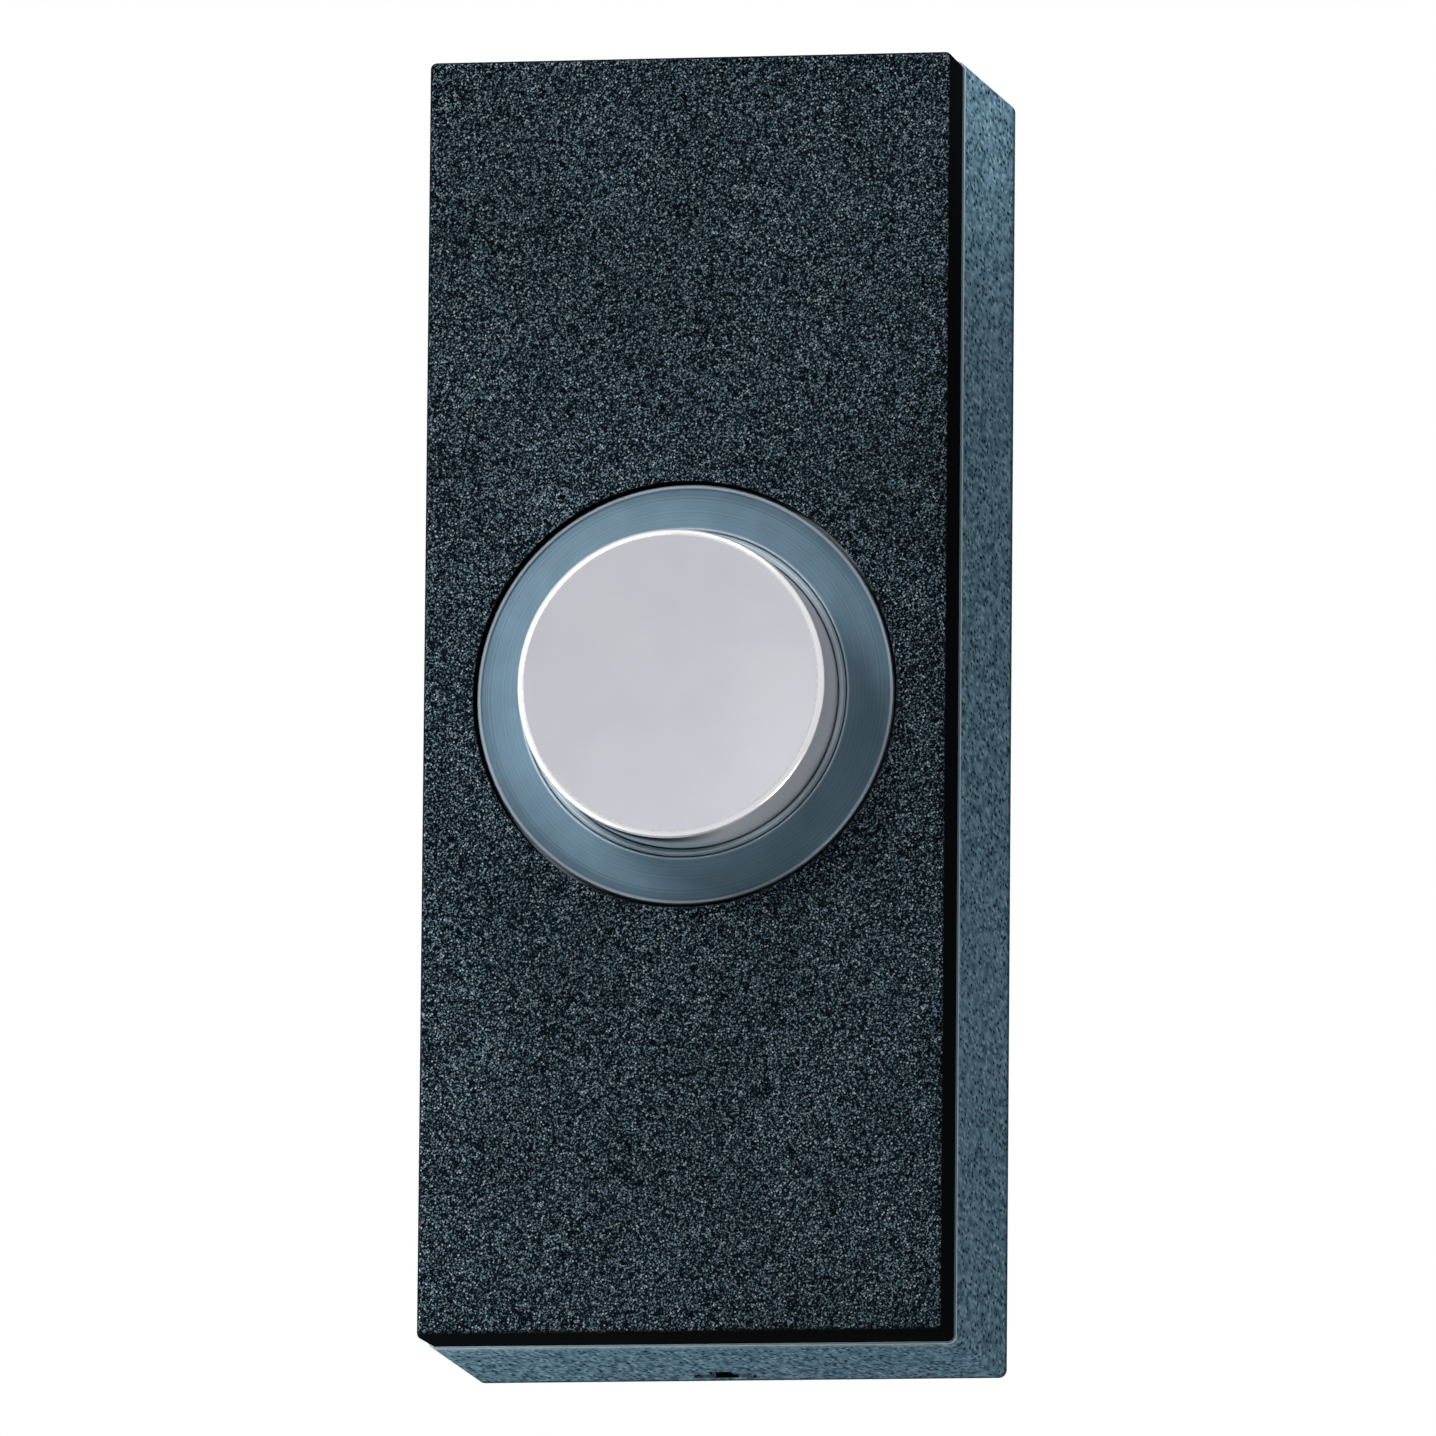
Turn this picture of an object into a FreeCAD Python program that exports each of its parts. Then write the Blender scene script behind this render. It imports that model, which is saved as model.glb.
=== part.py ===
import FreeCAD
import Part
import Sketcher
import math
import os
from types import SimpleNamespace

# A surface-mounted bell push: a black textured fascia on a drafted slate housing, which
# snaps over a moulded backplate. A pale round button slides in a guide inside a satin
# bezel ring, against a coil spring, and closes a pair of contacts on the backplate.
#
# The rear face lies against the wall in the plane y = 0 and the button faces -Y, with +Z up
# as it hangs. "Forward" below is the distance in front of the wall, so y = -forward.

# Driving dimensions, in millimetres.
DIMENSIONS = {
    # Envelope
    "body_height": 80.0,
    "body_width": 33.4,
    "body_depth": 22.0,
    # Housing shell: its sides lean in by the draft angle, in degrees, from the wall forward
    "housing_draft_angle": 0.87,
    "housing_wall": 1.6,
    "deck_thickness": 1.6,
    "housing_corner_radius": 0.5,
    "cavity_corner_radius": 0.8,
    "deck_rib_thickness": 1.0,
    "deck_rib_height": 2.6,
    "fit_gap": 0.15,
    # Fascia cap
    "fascia_depth": 4.4,
    "fascia_inset": 0.12,
    "fascia_wall": 1.6,
    "fascia_skirt": 1.4,
    "fascia_corner_radius": 0.4,
    "fascia_edge_radius": 0.35,
    "plug_wall": 1.2,
    "peg_radius": 1.2,
    "peg_edge_distance": 5.0,
    "peg_head_height": 0.5,
    "peg_head_overhang": 0.7,
    # Bezel ring
    "ring_margin": 3.7,
    "ring_band": 3.45,
    "ring_opening_gap": 0.22,
    "ring_edge_recess": 0.45,
    "ring_rise": 0.5,
    "ring_bead_width": 0.3,
    "ring_bead_height": 0.12,
    # Button and its guide
    "button_proud": 4.9,
    "button_wall": 1.4,
    "button_front_wall": 1.8,
    "button_dish_depth": 0.3,
    "button_rim_radius": 0.45,
    "button_travel": 1.4,
    "button_rest_gap": 0.1,
    "button_flange_thickness": 1.4,
    "slide_gap": 0.08,
    "collar_wall": 0.42,
    "sleeve_wall": 0.92,
    "guide_flange_gap": 0.6,
    "guide_flange_thickness": 1.4,
    "tower_wall": 1.75,
    "key_width": 3.0,
    "key_reach": 1.3,
    "rib_thickness": 0.9,
    "rib_depth": 4.0,
    # Return spring, whose radius is a share of the button's
    "spring_wire": 0.5,
    "spring_share": 0.355,
    "spring_length": 13.0,
    "spring_turns": 6.0,
    "spring_clearance": 0.55,
    "spring_socket_depth": 2.0,
    "spring_socket_wall": 1.2,
    "spring_post_height": 8.0,
    # Backplate: the fixings, cable entry and terminals lie at shares of the body's height
    "plate_thickness": 2.4,
    "plate_corner_radius": 0.8,
    "fixing_share": 0.375,
    "fixing_hole_radius": 2.1,
    "fixing_countersink": 1.6,
    "fixing_boss_wall": 2.6,
    "fixing_boss_height": 0.8,
    "cable_entry_width": 8.0,
    "cable_entry_height": 9.0,
    "cable_entry_share": 0.225,
    "cable_entry_radius": 1.5,
    # Snap hooks and the prise slot
    "hook_edge_distance": 7.05,
    "hook_width": 5.0,
    "hook_thickness": 1.2,
    "hook_height": 3.8,
    "hook_reach": 0.6,
    "prise_offset": 0.6,
    "prise_mouth_width": 4.0,
    "prise_slot_width": 1.4,
    "prise_rear_edge": 1.6,
    "prise_mouth_depth": 1.5,
    "prise_slot_depth": 1.4,
    # Contacts, whose arm and presser lie at shares of the button's radius
    "strip_edge_distance": 2.55,
    "strip_width": 5.0,
    "strip_tail": 3.2,
    "arm_share": 0.927,
    "arm_width": 4.0,
    "arm_overlap": 2.4,
    "fixed_seat_height": 0.6,
    "fixed_thickness": 0.6,
    "moving_thickness": 0.3,
    "tip_radius": 1.2,
    "tip_height": 0.4,
    "contact_gap": 0.6,
    "leaf_free_play": 1.0,
    "presser_share": 0.375,
    "presser_width": 2.0,
    "presser_height": 1.6,
    "presser_reach": 1.6,
    # Terminals
    "terminal_share": 0.275,
    "rivet_distance": 6.4,
    "seat_margin": 0.4,
    "seat_length": 12.6,
    "screw_radius": 1.5,
    "screw_head_radius": 2.8,
    "screw_head_height": 1.8,
    "screw_slot_width": 0.7,
    "screw_slot_depth": 0.9,
    "screw_tip_depth": 0.3,
    "thread_gap": 0.05,
    "washer_side": 5.8,
    "washer_thickness": 0.8,
    "nut_side": 5.4,
    "nut_thickness": 1.5,
    "pocket_gap": 0.05,
    "rivet_radius": 0.9,
    "rivet_head_radius": 1.8,
    "rivet_head_height": 0.5,
}

SHEET_NAME = "Dimensions"
OUTPUT_FOLDER = "parts"
# The spring's round wire is a many-sided prism, which keeps its coil light
WIRE_SIDES = 6


class Size:
    """A length that carries its value and the sheet formula that it follows."""

    def __init__(self, value, formula):
        self.value = value
        self.formula = formula

    def joined(self, sign, other, value):
        return Size(value, f"({self.formula} {sign} {as_size(other).formula})")

    def __add__(self, other):
        return self.joined("+", other, self.value + as_size(other).value)

    def __sub__(self, other):
        return self.joined("-", other, self.value - as_size(other).value)

    def __mul__(self, other):
        return self.joined("*", other, self.value * as_size(other).value)

    def __truediv__(self, other):
        return self.joined("/", other, self.value / as_size(other).value)

    def __neg__(self):
        return self * -1

    def __rmul__(self, other):
        return as_size(other) * self


def as_size(number):
    if isinstance(number, Size):
        return number
    return Size(float(number), str(float(number)))


def fill_sheet(doc):
    """Writes the driving dimensions to the spreadsheet and returns them as sizes."""
    sheet = doc.addObject("Spreadsheet::Sheet", SHEET_NAME)
    sizes = {}
    for row, (name, value) in enumerate(DIMENSIONS.items(), 1):
        sheet.set(f"A{row}", name)
        sheet.set(f"B{row}", str(value))
        sheet.setAlias(f"B{row}", name)
        sizes[name] = Size(value, f"{SHEET_NAME}.{name}")
    doc.recompute()
    return SimpleNamespace(**sizes)


def tangent(angle):
    """The tangent of a size that is an angle in degrees."""
    return Size(math.tan(math.radians(angle.value)), f"tan({angle.formula})")


def bind(thing, path, size):
    thing.setExpression(path, as_size(size).formula)


# Sketch helpers. A facing sketch lies parallel to the wall, drawn in x and z. A section
# sketch lies in the plane of y and z, drawn in forward distance and z or radius.

def new_body(doc, label):
    body = doc.addObject("PartDesign::Body", label)
    body.Label = label
    return body


def origin_feature(body, role):
    for feature in body.Origin.OriginFeatures:
        if feature.Role == role:
            return feature
    raise ValueError(f"no {role} in {body.Label}")


def attached_sketch(body, name, role, offset):
    sketch = body.newObject("Sketcher::SketchObject", name)
    sketch.AttachmentSupport = [(origin_feature(body, role), "")]
    sketch.MapMode = "FlatFace"
    bind(sketch, "AttachmentOffset.Base.z", offset)
    return sketch


def facing_sketch(body, name, forward):
    return attached_sketch(body, name, "XZ_Plane", forward)


def section_sketch(body, name, across):
    return attached_sketch(body, name, "YZ_Plane", across)


def fix_point(sketch, geometry, vertex, across, up):
    """Holds a sketch point at a place that follows the sheet."""
    for kind, axis, size in (("DistanceX", -2, across), ("DistanceY", -1, up)):
        size = as_size(size)
        if size.formula == "0.0":
            sketch.addConstraint(Sketcher.Constraint("PointOnObject", geometry, vertex, axis))
            continue
        index = sketch.addConstraint(
            Sketcher.Constraint(kind, -1, 1, geometry, vertex, size.value)
        )
        bind(sketch, f"Constraints[{index}]", size)


def add_outline(sketch, corners):
    """Draws a closed outline of straight sides through corners given as pairs of sizes."""
    corners = [(as_size(across), as_size(up)) for across, up in corners]
    points = [FreeCAD.Vector(across.value, up.value, 0) for across, up in corners]
    first = sketch.GeometryCount
    count = len(points)
    for index in range(count):
        side = Part.LineSegment(points[index], points[(index + 1) % count])
        sketch.addGeometry(side, False)
    for index in range(count):
        following = first + (index + 1) % count
        sketch.addConstraint(Sketcher.Constraint("Coincident", first + index, 2, following, 1))
    for index, (across, up) in enumerate(corners):
        fix_point(sketch, first + index, 1, across, up)


def add_rectangle(sketch, centre_across, centre_up, width, height):
    left, right = as_size(centre_across) - width / 2, as_size(centre_across) + width / 2
    low, high = as_size(centre_up) - height / 2, as_size(centre_up) + height / 2
    add_outline(sketch, [(left, low), (right, low), (right, high), (left, high)])


def add_circle(sketch, centre_across, centre_up, radius):
    across, up = as_size(centre_across), as_size(centre_up)
    centre = FreeCAD.Vector(across.value, up.value, 0)
    circle = Part.Circle(centre, FreeCAD.Vector(0, 0, 1), radius.value)
    index = sketch.addGeometry(circle, False)
    fix_point(sketch, index, 3, across, up)
    constraint = sketch.addConstraint(Sketcher.Constraint("Radius", index, radius.value))
    bind(sketch, f"Constraints[{constraint}]", radius)


# Feature helpers. Every pad grows forward and every pocket cuts back towards the wall,
# unless it is reversed.

def pad(body, name, sketch, length, reverse=False):
    feature = body.newObject("PartDesign::Pad", name)
    feature.Profile = sketch
    bind(feature, "Length", length)
    feature.Reversed = reverse
    return feature


def pocket(body, name, sketch, length, reverse=False):
    feature = body.newObject("PartDesign::Pocket", name)
    feature.Profile = sketch
    bind(feature, "Length", length)
    feature.Reversed = reverse
    return feature


def revolve(body, name, profile, kind="PartDesign::Revolution"):
    """Turns a profile of (forward, radius) corners about the axis that points off the wall."""
    sketch = section_sketch(body, f"{name}_profile", 0)
    add_outline(sketch, [(-as_size(forward), radius) for forward, radius in profile])
    feature = body.newObject(kind, name)
    feature.Profile = sketch
    feature.ReferenceAxis = (sketch, ["H_Axis"])
    feature.Angle = 360.0
    return feature


def dress(body, kind, name, base, chosen, amount):
    """Rounds or bevels the edges of the base feature that the chosen test picks."""
    body.Document.recompute()
    edges = [f"Edge{n}" for n, edge in enumerate(base.Shape.Edges, 1) if chosen(edge)]
    if not edges:
        raise ValueError(f"{name} found no edge")
    feature = body.newObject(f"PartDesign::{kind}", name)
    feature.Base = (base, edges)
    bind(feature, "Radius" if kind == "Fillet" else "Size", amount)
    return feature


def draft_sides(body, name, base, angle):
    """Leans every side outwards from its front edge back to the wall, as a mould needs."""
    body.Document.recompute()
    sides = [
        f"Face{number}"
        for number, face in enumerate(base.Shape.Faces, 1)
        if abs(face.normalAt(0, 0).y) < 1e-4
    ]
    feature = body.newObject("PartDesign::Draft", name)
    feature.Base = (base, sides)
    feature.NeutralPlane = (origin_feature(body, "XZ_Plane"), [""])
    bind(feature, "Angle", angle)
    return feature


def is_straight(edge):
    """True where the edge is as long as the distance between its two ends."""
    first, last = edge.Vertexes[0].Point, edge.Vertexes[-1].Point
    return abs(edge.Length - first.distanceToPoint(last)) < 1e-4


def is_circle(edge):
    return edge.Curve.TypeId == "Part::GeomCircle"


def runs_off_wall(edge):
    """True for a straight edge that points away from the wall, within the draft."""
    box = edge.BoundBox
    return is_straight(edge) and box.YLength > 4 * max(box.XLength, box.ZLength)


def lies_at(edge, forward):
    box = edge.BoundBox
    return abs(box.YMin + forward.value) < 1e-4 and abs(box.YMax + forward.value) < 1e-4


def circle_of(edge, radius, forward):
    return is_circle(edge) and lies_at(edge, forward) and abs(edge.Curve.Radius - radius.value) < 1e-4


def derived_sizes(dim):
    """Adds the places and sizes that follow from the driving dimensions."""
    dim.housing_depth = dim.body_depth - dim.fascia_depth
    draft_inset = dim.housing_depth * tangent(dim.housing_draft_angle)
    dim.rim_width = dim.body_width - 2 * draft_inset
    dim.rim_height = dim.body_height - 2 * draft_inset
    dim.cavity_width = dim.body_width - 2 * dim.housing_wall
    dim.cavity_height = dim.body_height - 2 * dim.housing_wall
    dim.deck_back = dim.housing_depth - dim.deck_thickness

    dim.fascia_width = dim.rim_width - 2 * dim.fascia_inset
    dim.fascia_height = dim.rim_height - 2 * dim.fascia_inset
    dim.fascia_inner_width = dim.fascia_width - 2 * dim.fascia_skirt
    dim.fascia_inner_height = dim.fascia_height - 2 * dim.fascia_skirt
    dim.fascia_back = dim.body_depth - dim.fascia_wall
    dim.peg_across = dim.fascia_inner_width / 2 - dim.peg_edge_distance
    dim.peg_up = dim.fascia_inner_height / 2 - dim.peg_edge_distance

    dim.plate_width = dim.cavity_width - 2 * dim.fit_gap
    dim.plate_height = dim.cavity_height - 2 * dim.fit_gap
    dim.hook_tip = dim.plate_thickness + dim.hook_height
    dim.hook_offset = dim.plate_width / 2 - dim.hook_edge_distance
    dim.fixing_drop = dim.body_height * dim.fixing_share
    dim.cable_entry_drop = dim.body_height * dim.cable_entry_share
    dim.terminal_drop = dim.body_height * dim.terminal_share
    dim.rivet_drop = dim.terminal_drop - dim.rivet_distance
    dim.strip_end_drop = dim.terminal_drop + dim.strip_tail
    dim.strip_offset = (dim.plate_width - dim.strip_width) / 2 - dim.strip_edge_distance

    dim.ring_radius = dim.body_width / 2 - dim.ring_margin
    dim.button_radius = dim.ring_radius - dim.ring_band
    dim.spring_radius = dim.button_radius * dim.spring_share
    dim.arm_drop = dim.button_radius * dim.arm_share
    dim.presser_offset = dim.button_radius * dim.presser_share

    dim.fixed_back = dim.plate_thickness + dim.fixed_seat_height
    dim.fixed_front = dim.fixed_back + dim.fixed_thickness
    dim.moving_back = dim.fixed_front + 2 * dim.tip_height + dim.contact_gap
    dim.moving_front = dim.moving_back + dim.moving_thickness

    dim.flange_back = dim.moving_front + dim.leaf_free_play + dim.presser_reach
    dim.flange_front = dim.flange_back + dim.button_flange_thickness
    dim.sleeve_back = dim.flange_front + dim.button_rest_gap
    dim.guide_seat = dim.fascia_back - dim.guide_flange_thickness
    dim.guide_bore = dim.button_radius + dim.slide_gap
    dim.collar_radius = dim.guide_bore + dim.collar_wall
    dim.sleeve_radius = dim.guide_bore + dim.sleeve_wall
    dim.guide_flange_radius = dim.fascia_inner_width / 2 - dim.guide_flange_gap
    dim.tower_bore = dim.sleeve_radius + dim.fit_gap
    dim.tower_radius = dim.tower_bore + dim.tower_wall
    dim.tower_back = dim.flange_back - dim.button_travel + dim.button_rest_gap * 5
    dim.deck_rib_offset = (dim.tower_radius + dim.terminal_drop - dim.screw_head_radius) / 2

    dim.ring_edge_forward = dim.body_depth - dim.ring_edge_recess
    dim.ring_inner_radius = dim.collar_radius + dim.slide_gap
    dim.collar_front = dim.ring_edge_forward + dim.ring_rise

    dim.button_front = dim.body_depth + dim.button_proud
    dim.flange_radius = dim.sleeve_radius - dim.slide_gap
    dim.spring_seat = dim.plate_thickness
    dim.spring_top = dim.spring_seat + dim.spring_length
    dim.spring_space = dim.spring_wire / 2 + dim.spring_clearance
    dim.socket_radius = dim.spring_radius + dim.spring_space
    dim.post_radius = dim.spring_radius - dim.spring_space
    return dim


def make_housing(doc, dim):
    """Drafted shell, open at the wall, whose deck carries the fascia and the guide."""
    body = new_body(doc, "housing")
    block = body.newObject("PartDesign::AdditiveBox", "housing_block")
    bind(block, "Length", dim.rim_width)
    bind(block, "Width", dim.housing_depth)
    bind(block, "Height", dim.rim_height)
    bind(block, "Placement.Base.x", -dim.rim_width / 2)
    bind(block, "Placement.Base.y", -dim.housing_depth)
    bind(block, "Placement.Base.z", -dim.rim_height / 2)
    drafted = draft_sides(body, "housing_draft", block, dim.housing_draft_angle)
    dress(body, "Fillet", "housing_corners", drafted, runs_off_wall, dim.housing_corner_radius)

    cavity = facing_sketch(body, "cavity_outline", dim.deck_back)
    add_rectangle(cavity, 0, 0, dim.cavity_width, dim.cavity_height)
    hollow = pocket(body, "cavity", cavity, dim.deck_back)
    side_wall = dim.cavity_width.value / 2

    def is_cavity_corner(edge):
        return runs_off_wall(edge) and abs(abs(edge.BoundBox.Center.x) - side_wall) < 1e-4

    dress(body, "Fillet", "cavity_corners", hollow, is_cavity_corner, dim.cavity_corner_radius)

    deck_ribs = facing_sketch(body, "deck_ribs_outline", dim.deck_back)
    rib_length = dim.cavity_width + dim.housing_wall / 2
    for end in (-1, 1):
        middle = end * dim.deck_rib_offset
        add_rectangle(deck_ribs, 0, middle, rib_length, dim.deck_rib_thickness)
    pad(body, "deck_ribs", deck_ribs, dim.deck_rib_height, reverse=True)

    plug = facing_sketch(body, "plug_outline", dim.housing_depth)
    plug_width = dim.fascia_inner_width - 2 * dim.fit_gap
    plug_height = dim.fascia_inner_height - 2 * dim.fit_gap
    add_rectangle(plug, 0, 0, plug_width, plug_height)
    add_rectangle(plug, 0, 0, plug_width - 2 * dim.plug_wall, plug_height - 2 * dim.plug_wall)
    pad(body, "plug", plug, dim.guide_seat - dim.housing_depth)

    boss = facing_sketch(body, "guide_boss_outline", dim.housing_depth)
    add_circle(boss, 0, 0, dim.guide_flange_radius)
    pad(body, "guide_boss", boss, dim.guide_seat - dim.housing_depth)

    tower = facing_sketch(body, "tower_outline", dim.tower_back)
    add_circle(tower, 0, 0, dim.tower_radius)
    pad(body, "tower", tower, dim.deck_back - dim.tower_back)

    bore = facing_sketch(body, "bore_outline", dim.guide_seat)
    add_circle(bore, 0, 0, dim.tower_bore)
    pocket(body, "bore", bore, dim.guide_seat - dim.tower_back)

    keyways = facing_sketch(body, "keyways_outline", dim.flange_front + dim.button_rest_gap * 3)
    keyway_width = dim.key_width + 4 * dim.slide_gap
    add_rectangle(keyways, 0, 0, 2 * dim.tower_radius + 2, keyway_width)
    pocket(body, "keyways", keyways, dim.flange_front + dim.button_rest_gap * 3 - dim.tower_back)

    pegs = facing_sketch(body, "peg_holes_outline", dim.housing_depth)
    for side in (-1, 1):
        for end in (-1, 1):
            hole = dim.peg_radius + dim.pocket_gap
            add_circle(pegs, side * dim.peg_across, end * dim.peg_up, hole)
    pocket(body, "peg_holes", pegs, dim.deck_thickness)

    windows = facing_sketch(body, "hook_windows_outline", dim.hook_tip + dim.fit_gap)
    window_width = dim.hook_width + 4 * dim.fit_gap
    for side in (-1, 1):
        for end in (-1, 1):
            middle = dim.cavity_height / 2 + dim.hook_reach / 2 - dim.housing_wall / 2
            height = dim.hook_reach + dim.housing_wall
            add_rectangle(windows, side * dim.hook_offset, end * middle, window_width, height)
    pocket(body, "hook_windows", windows, dim.hook_reach * 2 + 2 * dim.fit_gap)

    mouth_forward = dim.prise_rear_edge + dim.prise_mouth_depth
    slot_forward = mouth_forward + dim.prise_slot_depth
    wall_middle = dim.housing_wall / 2 - dim.body_height / 2
    mouth = facing_sketch(body, "prise_mouth_outline", mouth_forward)
    add_rectangle(mouth, -dim.prise_offset, wall_middle, dim.prise_mouth_width, dim.housing_wall + 0.2)
    pocket(body, "prise_mouth", mouth, dim.prise_mouth_depth)
    slot = facing_sketch(body, "prise_slot_outline", slot_forward)
    add_rectangle(slot, -dim.prise_offset, wall_middle, dim.prise_slot_width, dim.housing_wall + 0.2)
    pocket(body, "prise_slot", slot, dim.prise_slot_depth)
    return body


def make_fascia(doc, dim):
    """Shallow textured cap with four pegs, whose heads are formed behind the deck."""
    body = new_body(doc, "fascia")
    outline = facing_sketch(body, "fascia_outline", dim.housing_depth)
    add_rectangle(outline, 0, 0, dim.fascia_width, dim.fascia_height)
    block = pad(body, "fascia_block", outline, dim.fascia_depth)
    corners = dress(
        body, "Fillet", "fascia_corners", block, runs_off_wall, dim.fascia_corner_radius
    )
    dress(
        body,
        "Fillet",
        "fascia_front_edge",
        corners,
        lambda edge: lies_at(edge, dim.body_depth),
        dim.fascia_edge_radius,
    )

    recess = facing_sketch(body, "fascia_recess_outline", dim.fascia_back)
    add_rectangle(recess, 0, 0, dim.fascia_inner_width, dim.fascia_inner_height)
    pocket(body, "fascia_recess", recess, dim.fascia_back - dim.housing_depth)

    opening = facing_sketch(body, "ring_opening_outline", dim.body_depth)
    add_circle(opening, 0, 0, dim.ring_radius + dim.ring_opening_gap)
    pocket(body, "ring_opening", opening, dim.fascia_wall)

    shanks = facing_sketch(body, "pegs_outline", dim.fascia_back)
    heads = facing_sketch(body, "peg_heads_outline", dim.deck_back)
    for side in (-1, 1):
        for end in (-1, 1):
            across, up = side * dim.peg_across, end * dim.peg_up
            add_circle(shanks, across, up, dim.peg_radius)
            add_circle(heads, across, up, dim.peg_radius + dim.peg_head_overhang)
    pad(body, "pegs", shanks, dim.fascia_back - dim.deck_back, reverse=True)
    pad(body, "peg_heads", heads, dim.peg_head_height, reverse=True)
    return body


def make_bezel_ring(doc, dim):
    """Coned trim ring with a fine bead round its outer edge, pressed over the collar."""
    body = new_body(doc, "bezel_ring")
    bead_top = dim.ring_edge_forward + dim.ring_bead_height
    bead_inner = dim.ring_radius - dim.ring_bead_width
    profile = [
        (dim.fascia_back, dim.ring_inner_radius),
        (dim.fascia_back, dim.ring_radius),
        (dim.ring_edge_forward, dim.ring_radius),
        (bead_top, dim.ring_radius - dim.ring_bead_width / 4),
        (bead_top, bead_inner + dim.ring_bead_width / 4),
        (dim.ring_edge_forward, bead_inner),
        (dim.ring_edge_forward + dim.ring_rise, dim.ring_inner_radius + dim.ring_bead_width / 4),
        (dim.ring_edge_forward + dim.ring_rise * 0.8, dim.ring_inner_radius),
    ]
    revolve(body, "ring", profile)
    return body


def make_button_guide(doc, dim):
    """Flanged sleeve that the button slides in, trapped between the fascia and the housing."""
    body = new_body(doc, "button_guide")
    profile = [
        (dim.sleeve_back, dim.guide_bore),
        (dim.sleeve_back, dim.sleeve_radius),
        (dim.guide_seat, dim.sleeve_radius),
        (dim.guide_seat, dim.guide_flange_radius),
        (dim.fascia_back, dim.guide_flange_radius),
        (dim.fascia_back, dim.collar_radius),
        (dim.collar_front, dim.collar_radius),
        (dim.collar_front, dim.guide_bore + dim.collar_wall / 2),
        (dim.collar_front - dim.collar_wall / 2, dim.guide_bore),
    ]
    revolve(body, "guide", profile)
    return body


def make_button(doc, dim):
    """Hollow moulded button with a dished face, a keyed flange and a spring socket."""
    body = new_body(doc, "button")
    inner_radius = dim.button_radius - dim.button_wall
    inner_front = dim.button_front - dim.button_front_wall
    boss_radius = dim.socket_radius + dim.spring_socket_wall
    boss_back = dim.spring_top - dim.spring_socket_depth
    profile = [
        (dim.button_front, 0),
        (dim.button_front, dim.button_radius),
        (dim.flange_front, dim.button_radius),
        (dim.flange_front, dim.flange_radius),
        (dim.flange_back, dim.flange_radius),
        (dim.flange_back, inner_radius),
        (inner_front, inner_radius),
        (inner_front, boss_radius),
        (boss_back, boss_radius),
        (boss_back, dim.socket_radius),
        (dim.spring_top, dim.socket_radius),
        (dim.spring_top, 0),
    ]
    turned = revolve(body, "button_form", profile)
    dress(
        body,
        "Fillet",
        "button_rim",
        turned,
        lambda edge: circle_of(edge, dim.button_radius, dim.button_front),
        dim.button_rim_radius,
    )

    dish_edge = dim.button_radius - dim.button_rim_radius
    dish_radius = (dish_edge * dish_edge / dim.button_dish_depth + dim.button_dish_depth) / 2
    dish = body.newObject("PartDesign::SubtractiveSphere", "button_dish")
    bind(dish, "Radius", dish_radius)
    bind(dish, "Placement.Base.y", -(dim.button_front - dim.button_dish_depth + dish_radius))

    keys = facing_sketch(body, "keys_outline", dim.flange_back)
    key_length = dim.key_reach + dim.button_wall / 2
    for side in (-1, 1):
        middle = dim.flange_radius + dim.key_reach - key_length / 2
        add_rectangle(keys, side * middle, 0, key_length, dim.key_width)
    pad(body, "keys", keys, dim.button_flange_thickness)

    presser = facing_sketch(body, "presser_outline", dim.flange_back)
    across, up = -dim.presser_offset, -dim.arm_drop
    add_rectangle(presser, across, up, dim.presser_width, dim.presser_height)
    pad(body, "presser", presser, dim.presser_reach, reverse=True)

    rib = facing_sketch(body, "rib_outline", inner_front)
    rib_inner = boss_radius - dim.spring_socket_wall / 2
    rib_outer = inner_radius + dim.button_wall / 2
    add_rectangle(rib, (rib_inner + rib_outer) / 2, 0, rib_outer - rib_inner, dim.rib_thickness)
    first_rib = pad(body, "rib", rib, dim.rib_depth, reverse=True)
    ribs = body.newObject("PartDesign::PolarPattern", "ribs")
    ribs.Originals = [first_rib]
    ribs.Axis = (origin_feature(body, "Y_Axis"), [""])
    ribs.Angle = 360.0
    ribs.Occurrences = 4
    body.Tip = ribs
    return body


def make_return_spring(doc, dim):
    """Open coil spring between its seat on the backplate and the socket in the button."""
    body = new_body(doc, "return_spring")
    start = dim.spring_seat + dim.spring_wire / 2
    rise = dim.spring_length - dim.spring_wire
    section = section_sketch(body, "wire_section", 0)
    corners = []
    for number in range(WIRE_SIDES):
        angle = 2 * math.pi * number / WIRE_SIDES
        forward = start + dim.spring_wire / 2 * math.cos(angle)
        corners.append((-forward, dim.spring_radius + dim.spring_wire / 2 * math.sin(angle)))
    add_outline(section, corners)
    coil = body.newObject("PartDesign::AdditiveHelix", "coil")
    coil.Profile = section
    coil.ReferenceAxis = (section, ["H_Axis"])
    coil.Mode = "height-turns-angle"
    bind(coil, "Height", rise)
    bind(coil, "Turns", dim.spring_turns)
    coil.Reversed = True
    return body


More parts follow.
